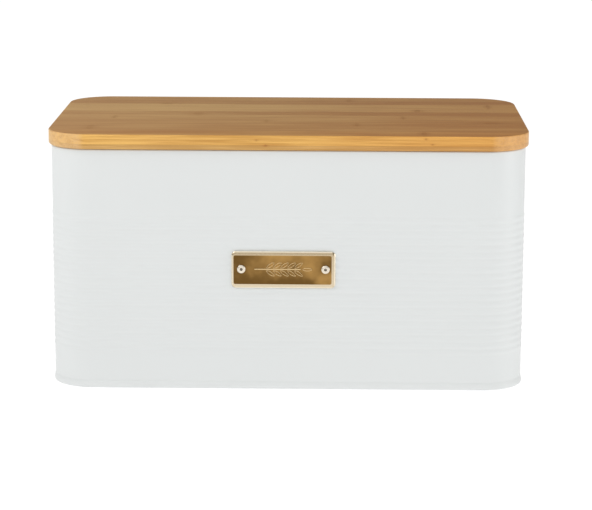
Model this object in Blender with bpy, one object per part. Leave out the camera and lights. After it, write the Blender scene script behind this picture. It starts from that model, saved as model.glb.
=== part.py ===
"""Bread bin: a ribbed sheet-steel box with a double-seamed base, a brass plate blind-riveted to its front,
and a loose laminated bamboo lid with a step underneath that drops into the mouth.

Metres, +Z up, front towards -Y. The origin is under the middle of the whole object, on the surface it
stands on. Sheet pieces are drawn as a centreline in (offset, height): offset is measured outwards from the
box's plain outer face, and the centreline is thickened and then carried round the rounded rectangle.
"""

import math

import bmesh
import bpy

# Clearance that touching pieces keep
GAP = 0.0003

# Whole object
HEIGHT = 0.188

# Lid: three plies that show at its edge, and a fourth, smaller one that drops into the mouth
LID_LENGTH = 0.350
LID_DEPTH = 0.201
LID_RADIUS = 0.0325
LID_EDGE = 0.0110
LID_ROUNDING = 0.0010
STEP_PLY = 0.0040
STEP_CLEARANCE = 0.0010

# Box
OVERHANG = 0.0021
BODY_LENGTH = LID_LENGTH - 2 * OVERHANG
BODY_DEPTH = LID_DEPTH - 2 * OVERHANG
BODY_RADIUS = LID_RADIUS - OVERHANG
WALL_SHEET = 0.0006
BASE_SHEET = 0.0005

# Ribs, counted upwards
RIB_COUNT = 20
RIB_PITCH = 0.00515
RIB_HEIGHT = 0.0003
FIRST_RIB = 0.0285

# Rolled rim
CURL_RADIUS = 0.0009
CURL_END = math.radians(250)

# Vertical lock seam at the back
SEAM_WIDTH = 0.0070
SEAM_SHOULDER = 0.0008
SEAM_PROUD = 0.0010
SEAM_LOW = 0.0080
SEAM_TOP_MARGIN = 0.0060

# Double seam round the base, from its lowest point upwards
BEAD_TIP = 0.0034
NECK_LOW = 0.0049
NECK_HIGH = 0.0067
NECK_DEPTH = 0.0014

# Base panel
FLOOR_HEIGHT = 0.0034
PANEL_INSET = 0.0150
PANEL_RISE = 0.0012
PANEL_SLOPE = 0.0020
FOLD_RADIUS = 0.00075
END_HOOK = 0.0005

# Brass plate
PLATE_X = -0.0027
PLATE_Z = 0.0896
PLATE_LENGTH = 0.0756
PLATE_HEIGHT = 0.0274
PLATE_CORNER = 0.0030
PLATE_SHEET = 0.0005
PLATE_RISE = 0.0012
PLATE_BEVEL = 0.0029
PLATE_RETURN = 0.0013
PLATE_FOLD = 0.0003
MOTIF_RISE = 0.0005

# Wheat ear pressed up in the plate
EAR_LENGTH = 0.0420
EAR_STEM = 0.0090
EAR_PAIRS = 5
GRAIN_LENGTH = 0.0074
GRAIN_WIDTH = 0.0026
GRAIN_TILT = math.radians(35)
GRAIN_OFFSET = 0.0029
GRAIN_FOOT = 0.5
GRAIN_CREST = 0.3
STALK_WIDTH = 0.0008
STALK_GAP = 0.0005
EMBOSS = 0.0004

# Blind rivets
RIVET_SPACING = 0.0610
RIVET_HEAD = 0.00305
RIVET_DOME = 0.0009
RIVET_SHANK = 0.0016
RIVET_BORE = 0.0011
RIVET_BULB = 0.0024
BULB_LENGTH = 0.0022
HOLE_LENGTH = 0.0120
MANDREL_STEM = 0.0008
MANDREL_HEAD = 0.0014
MANDREL_NOSE = 0.0005
MANDREL_TIP = 0.0011

CORNER_STEPS = 6
RIVET_STEPS = 24

FRONT_REACH = BODY_DEPTH / 2 + RIB_HEIGHT + PLATE_RISE + 2 * GAP + RIVET_DOME
MIDDLE_Y = (FRONT_REACH - LID_DEPTH / 2) / 2
FRONT_Y = MIDDLE_Y - BODY_DEPTH / 2
LID_UNDERSIDE = HEIGHT - LID_EDGE


def clear_scene():
    for obj in list(bpy.data.objects):
        bpy.data.objects.remove(obj, do_unlink=True)


def material(name, colour, roughness, metallic):
    made = bpy.data.materials.new(name)
    made.use_nodes = True
    shader = made.node_tree.nodes["Principled BSDF"]
    shader.inputs["Base Color"].default_value = (*colour, 1.0)
    shader.inputs["Roughness"].default_value = roughness
    shader.inputs["Metallic"].default_value = metallic
    return made


def arc(centre, radius, start, end, steps):
    """Points of an arc in (offset, height), both ends included."""
    return [
        (
            centre[0] + radius * math.cos(start + (end - start) * i / steps),
            centre[1] + radius * math.sin(start + (end - start) * i / steps),
        )
        for i in range(steps + 1)
    ]


def sheet_faces(path, thickness):
    """The two faces of a sheet on either side of its centreline, with mitred corners."""
    left = []
    right = []
    for i, (x, z) in enumerate(path):
        before = path[max(i - 1, 0)]
        after = path[min(i + 1, len(path) - 1)]
        turns = []
        for a, b in ((before, (x, z)), ((x, z), after)):
            run = math.dist(a, b)
            if run > 0:
                turns.append((-(b[1] - a[1]) / run, (b[0] - a[0]) / run))
        nx = sum(n[0] for n in turns)
        nz = sum(n[1] for n in turns)
        length = math.hypot(nx, nz)
        nx /= length
        nz /= length
        reach = thickness / 2 / (nx * turns[0][0] + nz * turns[0][1])
        left.append((x + nx * reach, z + nz * reach))
        right.append((x - nx * reach, z - nz * reach))
    return left, right


def rounded_rectangle(length, depth, radius, offset, back_strip=()):
    """Points round a rounded rectangle grown by offset, anticlockwise from above.

    back_strip adds (x, extra) points along the back edge, extra being how far each stands out.
    """
    points = []
    quarters = ((1, -1, -90), (1, 1, 0), (-1, 1, 90), (-1, -1, 180))
    for side_x, side_y, start in quarters:
        centre_x = side_x * (length / 2 - radius)
        centre_y = side_y * (depth / 2 - radius)
        for step in range(CORNER_STEPS + 1):
            angle = math.radians(start + 90 * step / CORNER_STEPS)
            x = centre_x + (radius + offset) * math.cos(angle)
            y = centre_y + (radius + offset) * math.sin(angle)
            points.append((x, y))
        if start == 0:
            points.extend((x, depth / 2 + offset + extra) for x, extra in back_strip)
    return points


def skin(name, rings, capped, finish):
    """An object whose surface runs through the rings in order, closed by caps or back to the first ring."""
    bm = bmesh.new()
    loops = [[bm.verts.new(point) for point in ring] for ring in rings]
    pairs = list(zip(loops, loops[1:]))
    if not capped:
        pairs.append((loops[-1], loops[0]))
    for low, high in pairs:
        for i in range(len(low)):
            j = (i + 1) % len(low)
            bm.faces.new((low[i], low[j], high[j], high[i]))
    if capped:
        bm.faces.new(loops[0])
        bm.faces.new(loops[-1])
    bmesh.ops.recalc_face_normals(bm, faces=bm.faces)
    return add_mesh(name, bm, finish)


def add_mesh(name, bm, finish):
    mesh = bpy.data.meshes.new(name)
    bm.to_mesh(mesh)
    bm.free()
    mesh.shade_smooth()
    mesh.set_sharp_from_angle(angle=math.radians(35))
    obj = bpy.data.objects.new(name, mesh)
    bpy.context.scene.collection.objects.link(obj)
    if finish:
        mesh.materials.append(finish)
    return obj


def parent_to(obj, parent):
    obj.parent = parent
    return obj


def helper_empty(name, location):
    empty = bpy.data.objects.new(name, None)
    empty.location = location
    bpy.context.scene.collection.objects.link(empty)
    return empty


def combine(target, helper, operation):
    """Adds a Boolean to target. The helper shape stays out of the model."""
    helper.hide_render = True
    helper.display_type = "WIRE"
    modifier = target.modifiers.new(helper.name, "BOOLEAN")
    modifier.operation = operation
    modifier.solver = "EXACT"
    modifier.object = helper


def wall_centreline():
    """From the hook inside the base seam, up the ribbed wall, to the end of the rolled rim."""
    face = -WALL_SHEET / 2
    neck = face - NECK_DEPTH
    bend = (2 * GAP + BASE_SHEET + WALL_SHEET) / 2
    turn_height = BASE_SHEET + GAP + WALL_SHEET / 2 + bend
    rim_height = LID_UNDERSIDE - GAP - WALL_SHEET / 2 - CURL_RADIUS
    path = [(neck + 2 * bend, BEAD_TIP)]
    path += arc((neck + bend, turn_height), bend, 0, -math.pi, 6)
    path += [(neck, NECK_LOW), (face, NECK_HIGH)]
    for rib in range(RIB_COUNT):
        crest = FIRST_RIB + rib * RIB_PITCH
        path += [(face, crest - RIB_PITCH / 2), (face + RIB_HEIGHT, crest)]
    path.append((face, FIRST_RIB + (RIB_COUNT - 0.5) * RIB_PITCH))
    path += arc((face - CURL_RADIUS, rim_height), CURL_RADIUS, 0, CURL_END, 9)
    return path


def body_wall(finish):
    """The sheet wrapped round the box, with its lock seam standing out at the back."""

    def ring(offset, height, outside):
        plain = LID_UNDERSIDE - SEAM_TOP_MARGIN > height > SEAM_LOW
        proud = SEAM_PROUD if outside and plain else 0.0
        outer = SEAM_WIDTH / 2
        inner = outer - SEAM_SHOULDER
        strip = ((outer, 0.0), (inner, proud), (-inner, proud), (-outer, 0.0))
        outline = rounded_rectangle(BODY_LENGTH, BODY_DEPTH, BODY_RADIUS, offset, strip)
        return [(x, y, height) for x, y in outline]

    inside, outside = sheet_faces(wall_centreline(), WALL_SHEET)
    rings = [ring(x, z, True) for x, z in outside]
    rings += [ring(x, z, False) for x, z in reversed(inside)]
    return skin("body_wall", rings, False, finish)


def base_centreline():
    """From the raised floor panel, down the recess and round the wall's hook."""
    neck = -WALL_SHEET / 2 - NECK_DEPTH
    chuck = neck - WALL_SHEET / 2 - GAP - BASE_SHEET / 2
    cover = neck + WALL_SHEET / 2 + GAP + BASE_SHEET / 2
    outer = cover + BASE_SHEET + 2 * GAP + WALL_SHEET
    bend = (outer - cover) / 2
    low = BASE_SHEET / 2
    path = [
        (-PANEL_INSET - PANEL_SLOPE, FLOOR_HEIGHT + PANEL_RISE),
        (-PANEL_INSET, FLOOR_HEIGHT),
    ]
    fold = FOLD_RADIUS
    path += arc((chuck - fold, FLOOR_HEIGHT - fold), fold, math.pi / 2, 0, 3)
    path += arc((chuck + fold, low + fold), fold, math.pi, 1.5 * math.pi, 3)
    path += arc((outer - fold, low + fold), fold, -math.pi / 2, 0, 3)
    path += arc((cover + bend, BEAD_TIP), bend, 0, math.pi, 6)
    path.append((cover, BEAD_TIP - END_HOOK))
    return path


def base_pan(finish):
    upper, lower = sheet_faces(base_centreline(), BASE_SHEET)
    rings = []
    for offset, height in upper + lower[::-1]:
        outline = rounded_rectangle(BODY_LENGTH, BODY_DEPTH, BODY_RADIUS, offset)
        rings.append([(x, y, height) for x, y in outline])
    return skin("base_pan", rings, True, finish)


def board(name, margin, low, high, round_low, round_high, finish):
    """A ply with the lid's outline pulled in by margin, its two edges rounded where asked."""
    edge = []
    if round_low:
        edge += arc((-round_low, low + round_low), round_low, -math.pi / 2, 0, 4)
    else:
        edge.append((0.0, low))
    if round_high:
        edge += arc((-round_high, high - round_high), round_high, 0, math.pi / 2, 4)
    else:
        edge.append((0.0, high))
    rings = []
    for offset, height in edge:
        outline = rounded_rectangle(LID_LENGTH, LID_DEPTH, LID_RADIUS, offset - margin)
        rings.append([(x, y, height) for x, y in outline])
    return skin(name, rings, True, finish)


def lid(finish):
    """The plies, given in heights above the lid's own parent, which sits on the lift line."""
    ply = (LID_EDGE - 2 * GAP) / 3
    step_margin = OVERHANG + WALL_SHEET + 2 * CURL_RADIUS + STEP_CLEARANCE
    return [
        board("lid_top_ply", 0.0, 2 * (ply + GAP), LID_EDGE, 0.0, LID_ROUNDING, finish),
        board("lid_core_ply", 0.0, ply + GAP, 2 * ply + GAP, 0.0, 0.0, finish),
        board("lid_bottom_ply", 0.0, 0.0, ply, LID_ROUNDING, 0.0, finish),
        board("lid_step_ply", step_margin, -GAP - STEP_PLY, -GAP, LID_ROUNDING, 0.0, finish),
    ]


def hole_cutter(name, x, radius, length):
    """A cylinder along the plate's depth, through plate and wall."""
    bm = bmesh.new()
    bmesh.ops.create_cone(
        bm, cap_ends=True, segments=RIVET_STEPS, radius1=radius, radius2=radius, depth=length
    )
    cutter = add_mesh(name, bm, None)
    cutter.location = (x, MOTIF_RISE, 0.0)
    return cutter


def wheat_ear():
    """Grains in pairs along a stalk, each a low block with sloping sides sunk into the plate's face."""
    bm = bmesh.new()

    def bump(x, y, length, width, tilt):
        made = bmesh.ops.create_cone(
            bm, cap_ends=True, segments=8, radius1=GRAIN_FOOT, radius2=GRAIN_CREST, depth=1.0
        )["verts"]
        bmesh.ops.scale(bm, vec=(length, width, 2 * EMBOSS), verts=made)
        turned = [(math.cos(tilt), -math.sin(tilt)), (math.sin(tilt), math.cos(tilt))]
        for vert in made:
            across, up = vert.co.x, vert.co.y
            vert.co.x = x + turned[0][0] * across + turned[0][1] * up
            vert.co.y = y + turned[1][0] * across + turned[1][1] * up

    start = EAR_STEM - EAR_LENGTH / 2
    spacing = (EAR_LENGTH - EAR_STEM - GRAIN_LENGTH) / EAR_PAIRS
    for pair in range(EAR_PAIRS):
        x = start + (pair + 0.5) * spacing
        for side in (-1, 1):
            bump(x, side * GRAIN_OFFSET, GRAIN_LENGTH, GRAIN_WIDTH, side * GRAIN_TILT)
    bump((EAR_LENGTH - GRAIN_LENGTH) / 2, 0.0, GRAIN_LENGTH, GRAIN_WIDTH, 0.0)
    stalk = EAR_LENGTH - GRAIN_LENGTH - STALK_GAP
    bump((stalk - EAR_LENGTH) / 2, 0.0, stalk, STALK_WIDTH, 0.0)
    return add_mesh("wheat_ear", bm, None)


def name_plate(finish):
    """A shallow tray of brass lying face up: its bevelled border turns back towards the wall."""
    outside = [(0.0, 0.0), (-PLATE_BEVEL, PLATE_RISE)]
    inside = [(-PLATE_BEVEL - PLATE_FOLD, PLATE_RISE - PLATE_SHEET), (-PLATE_RETURN, 0.0)]
    rings = []
    for offset, height in inside + outside:
        outline = rounded_rectangle(PLATE_LENGTH, PLATE_HEIGHT, PLATE_CORNER, offset)
        rings.append([(x, y, height) for x, y in outline])
    plate = skin("name_plate", rings, True, finish)
    ear = wheat_ear()
    ear.location = (0.0, MOTIF_RISE, PLATE_RISE)
    combine(plate, ear, "UNION")
    return plate, ear


def turned(name, profile, hollow, finish):
    """A round piece from its (radius, height) profile, its axis along its own Z."""
    rings = []
    for radius, height in profile:
        ring = []
        for step in range(RIVET_STEPS):
            angle = 2 * math.pi * step / RIVET_STEPS
            ring.append((radius * math.cos(angle), radius * math.sin(angle), height))
        rings.append(ring)
    return skin(name, rings, not hollow, finish)


def rivet_profile(seat, back):
    """Closed section of the rivet's sleeve: bulb behind the wall, shank, and domed flange at the seat."""
    tail = back - BULB_LENGTH
    dome = [(RIVET_HEAD, seat), (RIVET_HEAD, seat + 0.25 * RIVET_DOME)]
    dome += [(0.86 * RIVET_HEAD, seat + 0.65 * RIVET_DOME)]
    dome += [(0.62 * RIVET_HEAD, seat + 0.92 * RIVET_DOME)]
    dome += [(1.2 * RIVET_BORE, seat + RIVET_DOME)]
    dome += [(RIVET_BORE, seat + 0.8 * RIVET_DOME)]
    bulb = [(RIVET_BORE, tail), (0.8 * RIVET_BULB, tail)]
    bulb += [(RIVET_BULB, tail + 0.35 * BULB_LENGTH)]
    bulb += [(RIVET_BULB, tail + 0.75 * BULB_LENGTH)]
    bulb += [(RIVET_SHANK, back)]
    return bulb + [(RIVET_SHANK, seat)] + dome


def mandrel_profile(seat, back):
    """The broken-off stem left in the sleeve, with its round head behind the bulb."""
    head_top = back - BULB_LENGTH - GAP
    profile = [(0.5 * MANDREL_HEAD, head_top - MANDREL_TIP - MANDREL_NOSE)]
    profile += [(MANDREL_HEAD, head_top - MANDREL_TIP)]
    profile += [(MANDREL_HEAD, head_top)]
    profile += [(MANDREL_STEM, head_top)]
    profile += [(MANDREL_STEM, seat + 0.35 * RIVET_DOME)]
    profile += [(0.55 * MANDREL_STEM, seat + 0.45 * RIVET_DOME)]
    return profile


def build():
    clear_scene()
    coated = material("coated_steel", (0.80, 0.81, 0.80), 0.45, 0.0)
    bamboo = material("bamboo", (0.46, 0.25, 0.09), 0.5, 0.0)
    brass = material("brass", (0.60, 0.40, 0.16), 0.3, 1.0)
    aluminium = material("aluminium", (0.80, 0.80, 0.79), 0.3, 1.0)
    steel = material("mandrel_steel", (0.28, 0.28, 0.29), 0.4, 1.0)

    bin_frame = helper_empty("bin_frame", (0.0, MIDDLE_Y, 0.0))
    wall = parent_to(body_wall(coated), bin_frame)
    parent_to(base_pan(coated), bin_frame)

    lift_line = helper_empty("lid_lift_line", (0.0, MIDDLE_Y, LID_UNDERSIDE))
    for ply in lid(bamboo):
        parent_to(ply, lift_line)

    # The plate's own frame: X along the front, Y up the front, Z outwards
    plate_frame = helper_empty("plate_frame", (PLATE_X, FRONT_Y - RIB_HEIGHT - GAP, PLATE_Z))
    plate_frame.rotation_euler = (math.pi / 2, 0.0, 0.0)
    plate, ear = name_plate(brass)
    parent_to(plate, plate_frame)
    parent_to(ear, plate_frame)

    seat = PLATE_RISE + GAP
    back = -RIB_HEIGHT - WALL_SHEET - 2 * GAP
    for side, x in (("left", -RIVET_SPACING / 2), ("right", RIVET_SPACING / 2)):
        cutter = parent_to(hole_cutter("hole_" + side, x, RIVET_SHANK + GAP, HOLE_LENGTH), plate_frame)
        combine(plate, cutter, "DIFFERENCE")
        combine(wall, cutter, "DIFFERENCE")
        sleeve = turned("rivet_" + side, rivet_profile(seat, back), True, aluminium)
        stem = turned("mandrel_" + side, mandrel_profile(seat, back), False, steel)
        for piece in (sleeve, stem):
            parent_to(piece, plate_frame)
            piece.location = (x, MOTIF_RISE, 0.0)


build()
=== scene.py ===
"""Looks of the bread bin: a ribbed, powder-coated steel box, a riveted brass plate and a bamboo lid."""

import math

import bpy
from mathutils import Matrix, Vector


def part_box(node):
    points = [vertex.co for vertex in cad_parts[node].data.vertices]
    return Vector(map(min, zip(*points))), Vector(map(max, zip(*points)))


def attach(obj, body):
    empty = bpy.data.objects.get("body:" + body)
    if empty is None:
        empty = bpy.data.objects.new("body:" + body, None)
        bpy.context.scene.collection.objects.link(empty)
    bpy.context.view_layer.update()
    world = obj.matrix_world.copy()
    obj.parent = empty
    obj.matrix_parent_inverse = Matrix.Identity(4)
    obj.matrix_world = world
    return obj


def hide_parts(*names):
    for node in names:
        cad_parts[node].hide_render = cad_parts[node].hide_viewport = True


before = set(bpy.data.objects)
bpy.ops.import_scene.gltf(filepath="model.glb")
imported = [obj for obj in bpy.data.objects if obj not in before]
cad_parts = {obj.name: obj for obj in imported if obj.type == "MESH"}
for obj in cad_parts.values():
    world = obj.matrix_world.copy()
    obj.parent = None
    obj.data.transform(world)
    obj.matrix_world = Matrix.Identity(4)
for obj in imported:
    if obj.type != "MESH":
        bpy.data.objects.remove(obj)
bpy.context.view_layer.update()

MM = 0.001
QUARTER = math.pi / 2
FULL_TURN = 2 * math.pi

# Places that come from the frame
LID_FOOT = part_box("lid_bottom_ply")[0]
LID_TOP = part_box("lid_top_ply")[1]
STEP_FOOT, STEP_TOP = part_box("lid_step_ply")
WALL_FOOT, WALL_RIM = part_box("body_wall")
PLATE_FRONT, PLATE_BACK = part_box("name_plate")
MIDDLE_Y = (LID_FOOT.y + LID_TOP.y) / 2

# The box, measured from its plain outer face
RIB_COUNT = 20
RIB_PITCH = 5.15 * MM
RIB_HEIGHT = 0.3 * MM
FIRST_RIB = 28.5 * MM
RIB_STEPS = 8
BOX_RADIUS = 30.4 * MM
BOX_X = WALL_RIM.x - RIB_HEIGHT
BOX_Y = MIDDLE_Y - WALL_FOOT.y - RIB_HEIGHT
BEND_X = BOX_X - BOX_RADIUS
BEND_Y = BOX_Y - BOX_RADIUS
WALL_SHEET = 0.6 * MM
WALL_END = 1.2 * MM
CORNER_STEPS = 24

# The rolled rim, its end in degrees round from the outer face
RIM_GAP = 0.3 * MM
CURL_RADIUS = 1.0 * MM
CURL_END = 250
CURL_STEPS = 20

# The lock seam up the back
LOCK_WIDTH = 7.0 * MM
LOCK_SHOULDER = 0.8 * MM
LOCK_PROUD = 1.0 * MM
LOCK_FOOT = 8.0 * MM
LOCK_TOP = LID_FOOT.z - 6.0 * MM

# The base: its raised panel, and the bends of its sheet, which drops inside the wall and rounds its foot
BASE_SHEET = 0.5 * MM
PANEL_INSET = 15.0 * MM
PANEL_SLOPE = 2.0 * MM
PANEL_RISE = 1.2 * MM
FLOOR_UNDERSIDE = 3.15 * MM
DROP_X = -1.25 * MM
CROOK_RADIUS = 0.5 * MM
FOOT_RADIUS = 0.7 * MM
HEEL_RADIUS = 1.2 * MM
SEAM_PROUD = 0.75 * MM
# The seam's face above its heel: share of its full stand-out, and height
SEAM_FACE = ((1.0, 2.3 * MM), (0.85, 3.1 * MM), (0.5, 4.2 * MM))
# Its thin tip against the wall, and the way down behind it: offset and height
SEAM_TIP = ((0.04 * MM, 5.6 * MM), (0.02 * MM, 5.3 * MM), (0.15 * MM, 4.0 * MM))
SEAM_CROOK = 2.2 * MM

# The lid
LID_RADIUS = 32.5 * MM
LID_ROUNDING = 0.8 * MM
LID_FOOT_ROUNDING = 1.6 * MM
ROUNDING_STEPS = 5
EDGE_PLIES = 3
GLUE_LINE = 0.04 * MM
TOP_STRIP = 20 * MM
EDGE_STRIP = 60 * MM
# A face counts as level from this much of its normal upwards
LEVEL = 0.8

# Knuckles of the bamboo, in millimetres: place along X, place across the face, half length, half width
TOP_KNUCKLES = (
    (45, 81, 6, 10), (153, 51, 5, 14), (97, 26, 8, 10), (85, -9, 3.5, 11),
    (50, -45, 4.5, 12), (98, -87, 7, 11), (-132, -12, 4, 9), (-70, 6, 15, 10),
    (-17, -30, 5, 9), (-145, -65, 10, 11), (-98, 60, 18, 5), (150, -34, 22, 5),
)
EDGE_KNUCKLES = ((-22, 184.4, 3, 1.1), (-16, 180.6, 3.5, 1.1), (99, 186, 3, 1.1), (104, 182, 2.5, 0.9))

# Light and dark tones of the finishes
COAT_TONES = ((0.752, 0.772, 0.766), (0.770, 0.789, 0.782))
# The top face's tones are darker and less saturated than the edge's, though it is the same bamboo: painted
# shade for the weaker light from above, with a faint painted sheen
SHADED_TOP_TONES = ((0.735, 0.445, 0.160), (0.52, 0.247, 0.071))
EDGE_TONES = ((0.87, 0.535, 0.15), (0.62, 0.325, 0.068))
# The bottom ply's edge tones, darker than the other plies': painted shade under the lid's rounded foot
SHADED_LOW_EDGE_TONES = ((0.76, 0.485, 0.175), (0.55, 0.31, 0.085))
# Aluminium tinted warm: a painted reflection of the brass plate
ALUMINIUM_AND_BRASS_REFLECTION_TONES = ((0.90, 0.82, 0.69), (0.74, 0.66, 0.54))
# Steel lightened as painted light down in the sleeve's bore, and tinted warm as a painted reflection of the
# brass
STEEL_WITH_PAINTED_LIGHT_TONES = ((0.46, 0.41, 0.36), (0.28, 0.245, 0.21))

# Other tones of the bamboo
KNUCKLE_BROWN = (0.44, 0.19, 0.035)
GLUE_BROWN = (0.25, 0.12, 0.04)
CUT_FIBRE = (0.80, 0.55, 0.30)
HONEY = (0.97, 0.86, 0.68)
# Laid over the right end of the lid as painted shade, for the sheen that lights its left end
RUDDY_SHADE = (0.94, 0.81, 0.66)

# The plate
PLATE_CORNER = 3.6 * MM
PLATE_CORNER_STEPS = 10
PLATE_SHEET = 0.5 * MM
BORDER_REACH = 0.2 * MM
EMBOSS = 0.4 * MM
PLATE_FACE = PLATE_FRONT.y + EMBOSS
PLATE_MIDDLE = Vector(((PLATE_FRONT.x + PLATE_BACK.x) / 2, PLATE_FACE, (PLATE_FRONT.z + PLATE_BACK.z) / 2))
HOLE_RADIUS = 1.9 * MM
HOLE_REACH = 2 * MM

# The border: inset from the outline in millimetres, and height as a share of the plate's. The face lies a
# little left of the outline's middle, by a share of each inset, and is squeezed in height.
BORDER_SECTION = ((0.15, 0.42), (0.5, 0.68), (1.0, 0.86), (1.7, 0.97), (2.3, 1.0))
FACE_DRIFT = -0.26
FACE_SQUEEZE = 0.93

# Brass is bright where it stands this far in front of the face, or this far behind it
BRIGHT_FRONT = 0.12 * MM
BRIGHT_BEHIND = 0.01 * MM

# The ear of wheat on the plate
MOTIF_RISE = 0.5 * MM
EAR_LENGTH = 42.0 * MM
EAR_STEM = 9.0 * MM
STALK_THICK = 0.4 * MM
STALK_WIDE = 0.8 * MM
TIP_GAP = 1.0 * MM
STALK_ROUNDING = 0.15 * MM
GRAIN_PAIRS = 5
GRAIN_LENGTH = 7.4 * MM
GRAIN_WIDTH = 2.6 * MM
GRAIN_TILT = math.radians(35)
GRAIN_OFFSET = 2.9 * MM
GRAIN_ROOT = 0.2 * MM
# Share of the half length past which an oval is narrowed, and by how much, to make it an almond
GRAIN_POINTS = ((0.62, 0.9), (0.8, 0.85), (0.95, 0.6))
# Rise from the face, and the outline's length and width as shares of the grain's
GRAIN_SECTION = (
    (0.1 * MM, 1.0, 1.0),
    (0.3 * MM, 0.97, 0.93),
    (0.4 * MM, 0.91, 0.78),
    (0.3 * MM, 0.85, 0.62),
    (0.07 * MM, 0.81, 0.50),
)

# The blind rivets: radii, and distances out from their inner end
RIVET_BORE = 0.9 * MM
RIVET_SHANK = 1.6 * MM
RIVET_SIDES = 40
# The bore's mouth: how much wider it is, and how far below the rivet's front
MOUTH = ((0.0, 0.55 * MM), (0.15 * MM, 0.1 * MM), (0.35 * MM, 0.0))
DOME_HEIGHT = 0.9 * MM
DOME_BRIM = 0.2 * MM
DOME_STEPS = 8
BULB_TOP = 2.4 * MM
BULB_MIDDLE = (1.0 * MM, 1.2 * MM)
BULB_RADIUS = 1.3 * MM
STEM_RADIUS = 0.75 * MM
STEM_SIDES = 32
# The stem's broken end: share of its radius, and how far below its tip
BROKEN_END = ((0.0, 0.0), (0.5, 0.05 * MM), (0.85, 0.25 * MM), (1.0, 0.5 * MM))
STEM_HEAD_TOP = 1.6 * MM
STEM_HEAD_MIDDLE = (0.0, 0.8 * MM)
STEM_HEAD_RADIUS = 1.35 * MM
STEM_HEAD_TIP = 0.6 * MM

# Soft panels: azimuth and elevation in degrees, distance, width and height in metres, and power in watts
PANELS = {
    "left_panel": (-67, 42, 1.6, 0.9, 0.9, 9.0),
    "right_panel": (72, 8, 1.6, 0.9, 0.9, 6.6),
    "front_panel": (0, 41, 2.3, 2.6, 3.6, 22.0),
    "rear_panel": (-140, 35, 1.8, 1.0, 1.0, 3.0),
}
AIM_HEIGHT = 0.1
DAYLIGHT = 0.22
FLOOR_SIZE = 40
FLOOR_GLOW = 0.99
WHITE = (1, 1, 1, 1)

# The camera: its place in metres, its turns in degrees and its lens in millimetres
CAMERA_PLACE = (0.0334, -1.6937, 0.4350)
CAMERA_LEFT = 0.97
CAMERA_DOWN = 11.84
CAMERA_LEAN = 0.21
CAMERA_LENS = 137.07
CAMERA_NEAR = 0.05

# Sockets of a Mix node that mixes colours
MIX_SHARE = 0
MIX_FIRST = 6
MIX_SECOND = 7
MIX_COLOUR = 2


# ---------------------------------------------------------------- shaping by hand


def drop_all():
    bpy.ops.object.select_all(action="DESELECT")


def edit(kind="VERT"):
    bpy.ops.object.mode_set(mode="EDIT")
    bpy.ops.mesh.select_mode(type=kind)


def edit_all():
    """Opens the shape in hand with all of it selected."""
    edit()
    bpy.ops.mesh.select_all(action="SELECT")


def done():
    bpy.ops.object.mode_set(mode="OBJECT")
    return bpy.context.object


def named(name):
    """Names the shape just added and sets its place into its mesh."""
    shape = bpy.context.object
    shape.name = name
    shape.data.name = name
    bpy.ops.object.transform_apply()
    return shape


def draw(name, points):
    """A line from point to point, left selected in edit mode."""
    drop_all()
    bpy.ops.mesh.primitive_plane_add(size=MM, location=points[0])
    named(name)
    edit()
    bpy.ops.mesh.merge(type="CENTER")
    for here, there in zip(points, points[1:]):
        bpy.ops.mesh.extrude_vertices_move(TRANSFORM_OT_translate={"value": Vector(there) - Vector(here)})
    bpy.ops.mesh.select_all(action="SELECT")


def pull(x, y, z=0.0):
    bpy.ops.mesh.extrude_region_move(TRANSFORM_OT_translate={"value": (x, y, z)})


def turn(x, y):
    """Carries the selected line a quarter round an upright axis, anticlockwise from above."""
    centre = (x, MIDDLE_Y + y, 0)
    bpy.ops.mesh.spin(steps=CORNER_STEPS, angle=QUARTER, center=centre, axis=(0, 0, -1))


def carry_round(back_stops=()):
    """Takes the selected line once round the box, from the front of its right-hand corner."""
    turn(BEND_X, -BEND_Y)
    pull(0, 2 * BEND_Y)
    turn(BEND_X, BEND_Y)
    here = BEND_X
    for stop in (*back_stops, -BEND_X):
        pull(stop - here, 0)
        here = stop
    turn(-BEND_X, BEND_Y)
    pull(0, -2 * BEND_Y)
    turn(-BEND_X, -BEND_Y)
    pull(2 * BEND_X, 0)
    close_up()


def close_up():
    """Joins doubled points and turns every face outwards."""
    bpy.ops.mesh.select_all(action="SELECT")
    bpy.ops.mesh.remove_doubles(threshold=0.002 * MM)
    bpy.ops.mesh.normals_make_consistent(inside=False)


def pick(kind, passes):
    """Selects, in edit mode, the points whose place passes, or the edges with both ends passing."""
    edit(kind)
    bpy.ops.mesh.select_all(action="DESELECT")
    mesh = done().data
    if kind == "VERT":
        for point in mesh.vertices:
            point.select = passes(point.co)
    else:
        for edge in mesh.edges:
            edge.select = all(passes(mesh.vertices[end].co) for end in edge.vertices)
    edit(kind)


def pick_rims(height):
    """Selects, in edit mode, the edges that lie at a height."""
    pick("EDGE", lambda point: abs(point.z - height) < 0.01 * MM)


def modify(kind, **settings):
    """Adds a modifier to the shape in hand and applies it."""
    shape = bpy.context.object
    bpy.ops.object.modifier_add(type=kind)
    modifier = shape.modifiers[-1]
    for setting, value in settings.items():
        setattr(modifier, setting, value)
    bpy.ops.object.modifier_apply(modifier=modifier.name)


def take(shape):
    """Puts a shape in hand, alone."""
    drop_all()
    shape.select_set(True)
    bpy.context.view_layer.objects.active = shape


def join_to(target, tool, operation):
    """Cuts the tool from the target or adds it, and throws the tool away."""
    take(target)
    modify("BOOLEAN", operation=operation, solver="EXACT", object=tool)
    bpy.data.objects.remove(tool, do_unlink=True)


def fit(piece, body, slot, finish, *replaced, crease=35):
    """The last step of each piece: its shading, its finish, and what it stands for."""
    take(piece)
    bpy.ops.object.shade_smooth_by_angle(angle=math.radians(crease))
    piece.data.materials.clear()
    piece.data.materials.append(finish)
    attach(piece, body)
    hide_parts(*replaced)
    return piece


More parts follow.
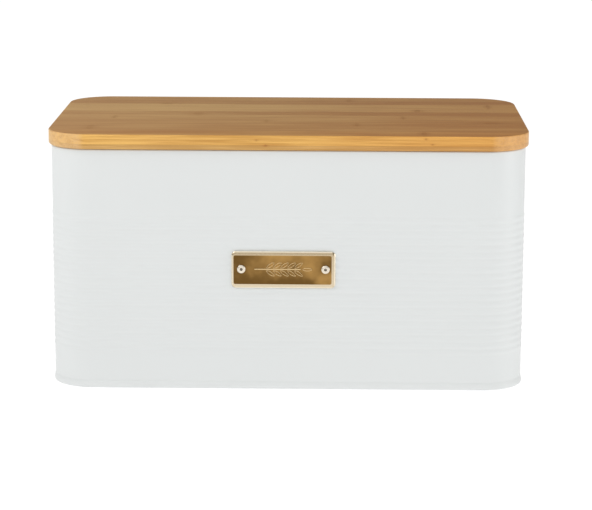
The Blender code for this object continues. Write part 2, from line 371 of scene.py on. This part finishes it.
def refinish(piece, finish, passes):
    """Gives a second finish to the faces that pass the test."""
    piece.data.materials.append(finish)
    last = len(piece.data.materials) - 1
    for face in piece.data.polygons:
        if passes(face):
            face.material_index = last


def arc(x, y, radius, start, end, steps):
    """Points of an arc, angles in degrees, both ends included."""
    angles = [math.radians(start + (end - start) * i / steps) for i in range(steps + 1)]
    return [(x + radius * math.cos(angle), y + radius * math.sin(angle)) for angle in angles]


def at_the_bend(line):
    """A line of (offset from the plain face, height), set where the front meets its right-hand corner."""
    return [Vector((BEND_X, MIDDLE_Y - BOX_Y - offset, height)) for offset, height in line]


# ---------------------------------------------------------------- finishes


class Signal:
    """A socket that takes part in sums. Each operator adds a Math node to the same finish."""

    def __init__(self, finish, socket):
        self.finish = finish
        self.socket = socket

    def maths(self, operation, *terms):
        return self.finish.node("ShaderNodeMath", {"operation": operation}, dict(enumerate(terms)))

    def __add__(self, other):
        return self.maths("ADD", self, other)

    def __sub__(self, other):
        return self.maths("SUBTRACT", self, other)

    def __rsub__(self, other):
        return self.maths("SUBTRACT", other, self)

    def __mul__(self, other):
        return self.maths("MULTIPLY", self, other)

    def __truediv__(self, other):
        return self.maths("DIVIDE", self, other)

    def __rtruediv__(self, other):
        return self.maths("DIVIDE", other, self)

    def __pow__(self, other):
        return self.maths("POWER", self, other)

    __radd__ = __add__
    __rmul__ = __mul__

    def floor(self):
        return self.maths("FLOOR", self)

    def size(self):
        return self.maths("ABSOLUTE", self)

    def or_more(self, other):
        return self.maths("MAXIMUM", self, other)

    def ease(self, low, high):
        """0 below low and 1 above high, or the other way round where high is the smaller."""
        limits = {"Value": self, "From Min": low, "From Max": high}
        return self.finish.node("ShaderNodeMapRange", {"interpolation_type": "SMOOTHSTEP"}, limits)


def opaque(colour):
    return colour if isinstance(colour, Signal) else (*colour, 1.0)


class Finish:
    """A material under construction, with its mean roughness."""

    def __init__(self, name, roughness, metallic=0.0):
        self.material = bpy.data.materials.new(name)
        self.material.use_nodes = True
        self.tree = self.material.node_tree
        self.shader = self.tree.nodes["Principled BSDF"]
        self.shader.inputs["Roughness"].default_value = roughness
        self.shader.inputs["Metallic"].default_value = metallic
        self.place = self.node("ShaderNodeTexCoord", {}, {}, "Object")

    def node(self, kind, settings, inputs, output=0):
        """Any node: its settings first, then the value or link of each socket."""
        made = self.tree.nodes.new(kind)
        for setting, value in settings.items():
            setattr(made, setting, value)
        for name, value in inputs.items():
            if isinstance(value, Signal):
                self.tree.links.new(value.socket, made.inputs[name])
            else:
                made.inputs[name].default_value = value
        return Signal(self, made.outputs[output])

    def along(self, axes):
        """A point's coordinates along the axes named, in metres."""
        return [self.node("ShaderNodeSeparateXYZ", {}, {"Vector": self.place}, axis) for axis in axes]

    def noise(self, scale, detail=3.0, stretch=(1, 1, 1), offset=(0, 0, 0)):
        """Noise from 0 to 1 with so many swells to the metre, drawn out along an axis by a small number."""
        mapped = {"Vector": self.place, "Scale": stretch, "Location": offset}
        where = self.node("ShaderNodeMapping", {}, mapped)
        return self.node("ShaderNodeTexNoise", {}, {"Vector": where, "Scale": scale, "Detail": detail})

    def mix(self, share, first, second, blend="MIX"):
        """A colour between two, each a colour or a link."""
        ends = {MIX_SHARE: share, MIX_FIRST: opaque(first), MIX_SECOND: opaque(second)}
        return self.node("ShaderNodeMix", {"data_type": "RGBA", "blend_type": blend}, ends, MIX_COLOUR)

    def wash(self, share, ground, tone):
        """A colour with a share of a tone laid over it."""
        return self.mix(share, ground, tone, "MULTIPLY")

    def colour(self, value):
        self.tree.links.new(value.socket, self.shader.inputs["Base Color"])

    def dull(self, value):
        self.tree.links.new(value.socket, self.shader.inputs["Roughness"])

    def relief(self, height, depth):
        """A surface that rises by depth where height is 1."""
        bump = self.node("ShaderNodeBump", {}, {"Height": height, "Distance": depth})
        self.tree.links.new(bump.socket, self.shader.inputs["Normal"])


def powder_coat():
    """Satin off-white coat: a faint orange peel, hardly clouded."""
    coat = Finish("powder_coat", 0.42)
    clouds = coat.noise(14.0)
    peel = coat.noise(900.0, 2.0)
    coat.colour(coat.mix(clouds, *COAT_TONES))
    coat.dull(0.36 + 0.12 * coat.noise(60.0))
    coat.relief(peel, 0.02 * MM)
    return coat.material


def knuckle_marks(wood, x, across, knuckles):
    """Where the knuckles darken the wood: an oval each, palest at its rim, its ends wavering."""
    waver = 3 * MM * (wood.noise(120.0) - 0.5)
    marks = None
    for place, level, length, width in knuckles:
        run = ((x + waver - place * MM) / (length * MM)) ** 2
        drift = ((across - level * MM) / (width * MM)) ** 2
        halo = (run + drift).ease(1.0, 0.0)
        core = (9 * run + drift).ease(1.0, 0.4)
        mark = 0.5 * halo + 0.5 * core
        marks = mark if marks is None else marks.or_more(mark)
    return marks


def bamboo(name, strip, knuckles, light, dark, seed=1.0, upright=False):
    """Strips glued side by side along X, each with its own tone, streaks along it and a few knuckles.

    A knuckle's place is given along X and across the face, which is up Z where the face stands upright.
    """
    wood = Finish(name, 0.45)
    x, y, z = wood.along("XYZ")
    lane = (y / strip).floor()
    tint = wood.node("ShaderNodeTexWhiteNoise", {"noise_dimensions": "1D"}, {"W": lane + seed})
    patches = wood.noise(1.0, 2.0, stretch=(7, 50, 50), offset=(seed, 0, 0))
    streaks = wood.noise(1.0, 4.0, stretch=(14, 450, 450), offset=(seed, 0, 0))
    fibres = wood.noise(1.0, stretch=(30, 1500, 1500))
    shade = 0.25 * patches + 0.4 * streaks + 0.2 * fibres + 0.15 * tint
    spread = 0.09 if upright else 0.15
    ground = wood.mix(shade.ease(0.5 + spread, 0.5 - spread), light, dark)
    marks = knuckle_marks(wood, x, z if upright else y, knuckles)
    ground = wood.mix(marks * (streaks.ease(0.65, 0.35) + 0.5) * 0.6, ground, KNUCKLE_BROWN)
    joint = ((y / strip - lane) - 0.5).size().ease(0.485, 0.5)
    ground = wood.mix(0.12 * joint, ground, GLUE_BROWN)
    if upright:
        end_grain = x.size().ease(BEND_X + 3 * MM, BEND_X + 9 * MM)
        pores = wood.noise(1100.0, 2.0).ease(0.3, 0.7)
        ground = wood.mix(end_grain * (0.35 + 0.35 * pores), ground, CUT_FIBRE)
    front_strip = y.ease(-74 * MM, -84 * MM)
    # Darker and ruddier towards the right end of the lid: painted shade, for the sheen that lights its left
    # end
    right_end_shade = x.ease(-0.3 * LID_TOP.x, LID_TOP.x)
    ground = wood.wash(0.6 * front_strip, ground, HONEY)
    ground = wood.wash(0.9 * right_end_shade, ground, RUDDY_SHADE)
    wood.colour(ground)
    wood.dull(0.38 + 0.2 * fibres)
    wood.relief(fibres, 0.04 * MM)
    return wood.material


def bright_brass():
    """The raised lines of the ear and the plate's border, palest along its rim: a painted highlight there,
    and a painted darker reflection in tan inward of it, deeper towards the top.
    """
    brass = Finish("bright_brass", 0.2, 1.0)
    x, z = brass.along("XZ")
    half = PLATE_BACK - PLATE_MIDDLE
    beyond = ((x - PLATE_MIDDLE.x).size() - half.x).or_more((z - PLATE_MIDDLE.z).size() - half.z)
    up = (z - PLATE_MIDDLE.z) / half.z
    # Tan inward of the rim, more of it towards the top: painted reflection
    tan_reflection = beyond.ease(-0.4 * MM, -1.2 * MM) * (0.8 + 0.2 * up)
    # Pale cream along the rim: painted highlight
    rim = brass.mix(brass.noise(160.0), (0.92, 0.85, 0.70), (0.86, 0.78, 0.62))
    border = brass.mix(tan_reflection, rim, (0.57, 0.45, 0.29))
    well_inside = beyond.ease(-4 * MM, -5 * MM)
    brass.colour(brass.mix(well_inside, border, (0.72, 0.52, 0.27)))
    brass.dull(0.16 + 0.14 * brass.noise(90.0))
    brass.relief(brass.noise(700.0, 2.0), 0.006 * MM)
    return brass.material


def old_brass_dark_reflection():
    """The plate's face: satin brass, aged, and darkened further as a painted dark reflection; darker at its
    foot and ends and lighter low on the right.
    """
    brass = Finish("aged_brass_dark_reflection", 0.3, 1.0)
    x, z = brass.along("XZ")
    half = PLATE_BACK - PLATE_MIDDLE
    right = (x - PLATE_MIDDLE.x) / half.x
    up = (z - PLATE_MIDDLE.z) / half.z
    foot = up.ease(-0.1, -0.8) * right.ease(0.75, 0.45)
    ends = right.ease(-0.5, -0.9) + right.ease(0.6, 0.8) * up.ease(-0.3, 0.3)
    lighter_low_right = right.ease(0.55, 0.8) * up.ease(0.0, -0.5)
    clouds = brass.noise(120.0)
    tarnish = 0.1 + brass.noise(45.0, offset=(0.9, 0, 0)) + 0.14 * foot + 0.09 * ends - 0.2 * lighter_low_right
    # The aged brass tones are set darker still, as a painted dark reflection
    warm = brass.mix(clouds, (0.48, 0.28, 0.09), (0.39, 0.22, 0.068))
    brass.colour(brass.mix(tarnish.ease(0.42, 0.85), warm, (0.155, 0.083, 0.023)))
    brass.dull(0.26 + 0.16 * clouds)
    brass.relief(brass.noise(700.0, 2.0), 0.01 * MM)
    return brass.material


def rivet_metal(name, light, dark, roughness):
    """Bare metal, faintly clouded and uneven."""
    metal = Finish(name, roughness, 1.0)
    clouds = metal.noise(500.0)
    metal.colour(metal.mix(clouds, light, dark))
    metal.dull(roughness + 0.2 * clouds)
    metal.relief(metal.noise(2500.0), 0.01 * MM)
    return metal.material


# ---------------------------------------------------------------- the steel box


def rib_rise(height):
    """How far a rib stands out at a height: one swell to each pitch."""
    run = (height - FIRST_RIB) / RIB_PITCH
    if not -0.5 <= run <= RIB_COUNT - 0.5:
        return 0.0
    return RIB_HEIGHT * (0.5 + 0.5 * math.cos(FULL_TURN * run))


def coated_wall(finish):
    """The sheet from inside the base seam, up its ribs and round the rolled rim, then right round the box."""
    start = FIRST_RIB - RIB_PITCH / 2
    line = [(0, WALL_END), (0, 0.5 * start)]
    for step in range(RIB_COUNT * RIB_STEPS + 1):
        height = start + RIB_PITCH * step / RIB_STEPS
        line.append((rib_rise(height), height))
    rim = LID_FOOT.z - RIM_GAP - CURL_RADIUS
    line += arc(-CURL_RADIUS, rim, CURL_RADIUS, 0, CURL_END, CURL_STEPS)
    draw("coated_wall", at_the_bend(line))
    half = LOCK_WIDTH / 2
    ridge = half - LOCK_SHOULDER
    carry_round((half, ridge, -ridge, -half))
    done()
    modify("SOLIDIFY", thickness=WALL_SHEET, offset=-1, use_even_offset=True)
    raise_lock_seam(ridge)
    fit(done(), "bin", "coated_steel", finish, "body_wall")


def raise_lock_seam(ridge):
    """Pushes the outer face of the strip up the back out, to stand for the folded seam."""
    back = MIDDLE_Y + BOX_Y - 0.1 * MM
    side = ridge + 0.1 * MM
    pick("VERT", lambda point: point.y > back and abs(point.x) < side and LOCK_FOOT < point.z < LOCK_TOP)
    bpy.ops.transform.translate(value=(0, LOCK_PROUD, 0))


def seamed_base(finish):
    """The bottom sheet: a raised panel, down beside the wall, and round its foot into the seam outside."""
    sheet = BASE_SHEET
    floor = FLOOR_UNDERSIDE
    panel = floor + PANEL_RISE
    crook_x = DROP_X - CROOK_RADIUS
    crook_z = floor - CROOK_RADIUS
    foot_x = DROP_X + FOOT_RADIUS
    heel_x = SEAM_PROUD - HEEL_RADIUS
    under = [(-PANEL_INSET - PANEL_SLOPE, panel), (-PANEL_INSET, floor)]
    under += arc(crook_x, crook_z, CROOK_RADIUS, 90, 0, 6)
    under += arc(foot_x, FOOT_RADIUS, FOOT_RADIUS, 180, 270, 6)
    under += arc(heel_x, HEEL_RADIUS, HEEL_RADIUS, 270, 360, 8)
    under += [(share * SEAM_PROUD, height) for share, height in SEAM_FACE]
    over = [*SEAM_TIP, (SEAM_PROUD - sheet, SEAM_CROOK)]
    over += arc(heel_x, HEEL_RADIUS, HEEL_RADIUS - sheet, 360, 270, 8)
    over += arc(foot_x, FOOT_RADIUS, FOOT_RADIUS - sheet, 270, 180, 6)
    over += arc(crook_x, crook_z, CROOK_RADIUS + sheet, 0, 90, 8)
    over += [(-PANEL_INSET, floor + sheet), (-PANEL_INSET - PANEL_SLOPE, panel + sheet)]
    draw("seamed_base", at_the_bend(under + over))
    carry_round()
    for height in (panel, panel + sheet):
        pick_rims(height)
        bpy.ops.mesh.edge_face_add()
    close_up()
    fit(done(), "bin", "coated_steel", finish, "base_pan")


# ---------------------------------------------------------------- the lid


def ply(name, margin, top, foot, round_top, round_foot, finish, replaced):
    """A board with rounded corners, its long faces eased where they show."""
    drop_all()
    bpy.ops.mesh.primitive_plane_add(size=1, location=(0, MIDDLE_Y, top))
    bpy.context.object.scale = (2 * (LID_TOP.x - margin), LID_TOP.y - LID_FOOT.y - 2 * margin, 1)
    named(name)
    edit_all()
    bpy.ops.mesh.bevel(offset=LID_RADIUS - margin, segments=CORNER_STEPS, affect="VERTICES")
    pull(0, 0, foot - top)
    close_up()
    for height, rounding in ((top, round_top), (foot, round_foot)):
        if rounding:
            pick_rims(height)
            bpy.ops.mesh.bevel(offset=rounding, segments=ROUNDING_STEPS)
    return fit(done(), "lid", "bamboo", finish, replaced)


def lid(shaded_top_finish, edge_finish, shaded_low_finish):
    """Three plies that show at the edge, and the step under them that drops into the box's mouth."""
    thick = (LID_TOP.z - LID_FOOT.z - (EDGE_PLIES - 1) * GLUE_LINE) / EDGE_PLIES
    top = LID_TOP.z
    board = ply("bamboo_top_ply", 0, top, top - thick, LID_ROUNDING, 0, edge_finish, "lid_top_ply")
    # The level top takes the darker face finish: painted shade for the weaker light from above
    refinish(board, shaded_top_finish, lambda face: face.normal.z > LEVEL)
    top -= thick + GLUE_LINE
    ply("bamboo_core_ply", 0, top, top - thick, 0, 0, edge_finish, "lid_core_ply")
    top -= thick + GLUE_LINE
    # The bottom ply takes a darker copy of the edge finish, as painted shade under the lid's rounded foot
    ply("bamboo_bottom_ply", 0, top, top - thick, 0, LID_FOOT_ROUNDING, shaded_low_finish, "lid_bottom_ply")
    margin = LID_TOP.x - STEP_TOP.x
    step = ply("bamboo_step", margin, STEP_TOP.z, STEP_FOOT.z, 0, LID_ROUNDING, edge_finish, "lid_step_ply")
    refinish(step, shaded_top_finish, lambda face: face.normal.z < -LEVEL)


# ---------------------------------------------------------------- the plate and its rivets


def plate_point(across, height, out):
    """A place on the plate: along it, up it, and out from its face."""
    return PLATE_MIDDLE + Vector((across, -out, height))


def add_disc(name, centre, radius, sides):
    """A filled disc facing forwards, left in edit mode."""
    drop_all()
    bpy.ops.mesh.primitive_circle_add(
        vertices=sides, radius=radius, fill_type="NGON", location=centre, rotation=(QUARTER, 0, 0)
    )
    named(name)
    edit_all()


def grain():
    """One grain of the ear: an almond with a raised outline, its root sunk in the plate."""
    centre = plate_point(0, MOTIF_RISE, -GRAIN_ROOT)
    add_disc("grain", centre, 0.5, 24)
    bpy.ops.transform.resize(value=(GRAIN_LENGTH, 1, GRAIN_WIDTH), center_override=centre)
    for reach, squeeze in GRAIN_POINTS:
        pick("VERT", lambda point: abs(point.x - centre.x) > reach * GRAIN_LENGTH / 2)
        bpy.ops.transform.resize(value=(1, 1, squeeze), center_override=centre)
    bpy.ops.mesh.select_all(action="SELECT")
    last_rise, last_length, last_width = -GRAIN_ROOT, 1.0, 1.0
    for rise, length, width in GRAIN_SECTION:
        pull(0, last_rise - rise)
        shrink = (length / last_length, 1, width / last_width)
        bpy.ops.transform.resize(value=shrink, center_override=centre)
        last_rise, last_length, last_width = rise, length, width
    close_up()
    return done()


def ear():
    """A stalk with grains in pairs along it and one at the tip, laid along the plate."""
    model = grain()
    centre = plate_point(0, MOTIF_RISE, 0)
    start = EAR_STEM - EAR_LENGTH / 2
    gap = (EAR_LENGTH - EAR_STEM - GRAIN_LENGTH) / GRAIN_PAIRS
    places = [(start + (pair + 0.5) * gap, side) for pair in range(GRAIN_PAIRS) for side in (-1, 1)]
    places.append(((EAR_LENGTH - GRAIN_LENGTH) / 2, 0))
    shapes = [stalk()]
    for along, side in places:
        take(model)
        bpy.ops.object.duplicate()
        edit_all()
        bpy.ops.transform.rotate(value=side * GRAIN_TILT, orient_axis="Y", center_override=centre)
        bpy.ops.transform.translate(value=(along, 0, side * GRAIN_OFFSET))
        shapes.append(done())
    bpy.data.objects.remove(model, do_unlink=True)
    return shapes


def stalk():
    """A thin rounded bar under the grains."""
    length = EAR_LENGTH - GRAIN_LENGTH - TIP_GAP
    centre = plate_point((length - EAR_LENGTH) / 2, MOTIF_RISE, 0)
    drop_all()
    bpy.ops.mesh.primitive_cube_add(size=1, location=centre)
    bpy.context.object.scale = (length, STALK_THICK, STALK_WIDE)
    named("stalk")
    edit_all()
    bpy.ops.mesh.bevel(offset=STALK_ROUNDING, segments=2)
    return done()


def plate_tray():
    """The plate pressed from its outline: the rounded border rises to the face, then gets its thickness."""
    back = PLATE_BACK.y + BORDER_REACH
    height = back - PLATE_FACE
    place = (PLATE_MIDDLE.x, back, PLATE_MIDDLE.z)
    drop_all()
    bpy.ops.mesh.primitive_plane_add(size=1, location=place, rotation=(QUARTER, 0, 0))
    bpy.context.object.scale = (PLATE_BACK.x - PLATE_FRONT.x, PLATE_BACK.z - PLATE_FRONT.z, 1)
    named("brass_plate")
    edit_all()
    bpy.ops.mesh.bevel(offset=PLATE_CORNER, segments=PLATE_CORNER_STEPS, affect="VERTICES")
    last_inset, last_share = 0.0, 0.0
    for inset, share in BORDER_SECTION:
        step = (inset - last_inset) * MM
        bpy.ops.mesh.inset(thickness=step, depth=(share - last_share) * height)
        bpy.ops.transform.translate(value=(FACE_DRIFT * step, 0, 0))
        last_inset, last_share = inset, share
    bpy.ops.transform.resize(value=(1, 1, FACE_SQUEEZE), center_override=PLATE_MIDDLE)
    plate = done()
    modify("SOLIDIFY", thickness=PLATE_SHEET, offset=-1, use_even_offset=True)
    return plate


def is_bright(face):
    """Whether a face of the plate is part of the ear's lines or of the border."""
    behind = face.center.y - PLATE_FACE
    return behind < -BRIGHT_FRONT or behind > BRIGHT_BEHIND


def brass_plate(finish, bright, rivet_places):
    """The tray with its rivet holes and the ear of wheat, bright on its border and the ear's lines."""
    plate = plate_tray()
    for across in rivet_places:
        add_disc("hole", plate_point(across, MOTIF_RISE, HOLE_REACH), HOLE_RADIUS, 32)
        pull(0, 2 * HOLE_REACH)
        close_up()
        join_to(plate, done(), "DIFFERENCE")
    for raised in ear():
        join_to(plate, raised, "UNION")
    fit(plate, "bin", "brass", finish, "name_plate", crease=25)
    refinish(plate, bright, is_bright)


def turned(name, centre, line, sides):
    """A round piece about an axis through the plate, drawn as (radius, distance out from its inner end)."""
    draw(name, [Vector((centre.x + radius, centre.y - out, centre.z)) for radius, out in line])
    bpy.ops.mesh.spin(steps=sides, angle=FULL_TURN, center=centre, axis=(0, 1, 0))
    close_up()
    return done()


def sleeve_line(head, length):
    """The sleeve's section: its bore's flared mouth, its domed head, the shank and the bulb behind."""
    line = [(RIVET_BORE + wider, length - depth) for wider, depth in MOUTH]
    mouth, lip = line[0], line[-1][0]
    seat = length - DOME_HEIGHT
    for step in range(1, DOME_STEPS + 1):
        angle = QUARTER * step / DOME_STEPS
        radius = lip + (head - lip) * math.sin(angle)
        out = seat + DOME_BRIM + (DOME_HEIGHT - DOME_BRIM) * math.cos(angle)
        line.append((radius, out))
    line += [(head, seat), (RIVET_SHANK, seat), (RIVET_SHANK, BULB_TOP)]
    line += arc(*BULB_MIDDLE, BULB_RADIUS, 60, -50, 8)
    return line + [(RIVET_BORE, 0.0), mouth]


def stem_line(length):
    """The stem's section: its broken end, its shaft and the round head that swelled the bulb."""
    line = [(share * STEM_RADIUS, length - depth) for share, depth in BROKEN_END]
    line.append((STEM_RADIUS, STEM_HEAD_TOP))
    line += arc(*STEM_HEAD_MIDDLE, STEM_HEAD_RADIUS, 30, -25, 5)
    return line + [(STEM_HEAD_TIP, 0.0), (0, 0.0)]


def rivet(side, sleeve_finish, stem_finish):
    """A blind rivet, its stem broken off inside the sleeve. Gives its place along the plate."""
    low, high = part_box("rivet_" + side)
    centre = Vector(((low.x + high.x) / 2, high.y, (low.z + high.z) / 2))
    line = sleeve_line((high.x - low.x) / 2, high.y - low.y)
    sleeve = turned("rivet_sleeve_" + side, centre, line, RIVET_SIDES)
    fit(sleeve, "bin", "rivet_aluminium", sleeve_finish, "rivet_" + side)
    low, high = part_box("mandrel_" + side)
    centre.y = high.y
    stub = turned("mandrel_stub_" + side, centre, stem_line(high.y - low.y), STEM_SIDES)
    fit(stub, "bin", "mandrel_steel", stem_finish, "mandrel_" + side)
    return (low.x + high.x) / 2 - PLATE_MIDDLE.x


# ---------------------------------------------------------------- floor, light and camera


def white_floor():
    """A wide pale floor that glows a little, so that it stays white."""
    drop_all()
    bpy.ops.mesh.primitive_plane_add(size=FLOOR_SIZE)
    floor = named("floor")
    paint = Finish("floor_white", 0.9)
    paint.colour(paint.mix(paint.noise(3.0), (0.10, 0.10, 0.10), (0.12, 0.12, 0.12)))
    paint.shader.inputs["Emission Color"].default_value = WHITE
    paint.shader.inputs["Emission Strength"].default_value = FLOOR_GLOW
    floor.data.materials.append(paint.material)


def softbox(name, azimuth, elevation, distance, width, height, watts):
    """A soft white panel aimed at the middle of the box."""
    across, up = math.radians(azimuth), math.radians(elevation)
    way = Vector((math.sin(across) * math.cos(up), -math.cos(across) * math.cos(up), math.sin(up)))
    target = Vector((0, MIDDLE_Y, AIM_HEIGHT))
    bpy.ops.object.light_add(type="AREA", location=target + way * distance)
    lamp = bpy.context.object
    lamp.name = name
    lamp.rotation_euler = way.to_track_quat("Z", "Y").to_euler()
    lamp.data.shape = "RECTANGLE"
    lamp.data.size = width
    lamp.data.size_y = height
    lamp.data.energy = watts


def daylight(strength):
    """Even white light from all round."""
    world = bpy.data.worlds.new("soft_tent")
    world.use_nodes = True
    background = world.node_tree.nodes["Background"]
    background.inputs["Color"].default_value = WHITE
    background.inputs["Strength"].default_value = strength
    bpy.context.scene.world = world


def camera():
    """Stands in front, a little above the lid, looking slightly down through a long lens."""
    bpy.ops.object.camera_add(location=CAMERA_PLACE)
    view = bpy.context.object
    heading = Matrix.Rotation(math.radians(CAMERA_LEFT), 4, "Z")
    tilt = Matrix.Rotation(QUARTER - math.radians(CAMERA_DOWN), 4, "X")
    lean = Matrix.Rotation(math.radians(CAMERA_LEAN), 4, "Z")
    view.rotation_euler = (heading @ tilt @ lean).to_euler()
    view.data.lens = CAMERA_LENS
    view.data.clip_start = CAMERA_NEAR
    bpy.context.scene.camera = view


# ---------------------------------------------------------------- making it

coat = powder_coat()
# The top face's finish is a darker copy of the same bamboo: painted shade
shaded_top_bamboo = bamboo("bamboo_face_shaded", TOP_STRIP, TOP_KNUCKLES, *SHADED_TOP_TONES)
edge_bamboo = bamboo("bamboo_edge", EDGE_STRIP, EDGE_KNUCKLES, *EDGE_TONES, seed=2.0, upright=True)
# A darker copy of the edge finish for the bottom ply: painted shade
shaded_low_bamboo = bamboo("bamboo_low_edge_shaded", EDGE_STRIP, EDGE_KNUCKLES, *SHADED_LOW_EDGE_TONES, seed=3.0, upright=True)
coated_wall(coat)
seamed_base(coat)
lid(shaded_top_bamboo, edge_bamboo, shaded_low_bamboo)
aluminium = rivet_metal("bright_aluminium", *ALUMINIUM_AND_BRASS_REFLECTION_TONES, 0.25)
steel = rivet_metal("broken_steel", *STEEL_WITH_PAINTED_LIGHT_TONES, 0.45)
rivet_places = [rivet(side, aluminium, steel) for side in ("left", "right")]
brass_plate(old_brass_dark_reflection(), bright_brass(), rivet_places)

white_floor()
daylight(DAYLIGHT)
for panel, settings in PANELS.items():
    softbox(panel, *settings)
camera()
bpy.context.scene.view_settings.view_transform = "Standard"
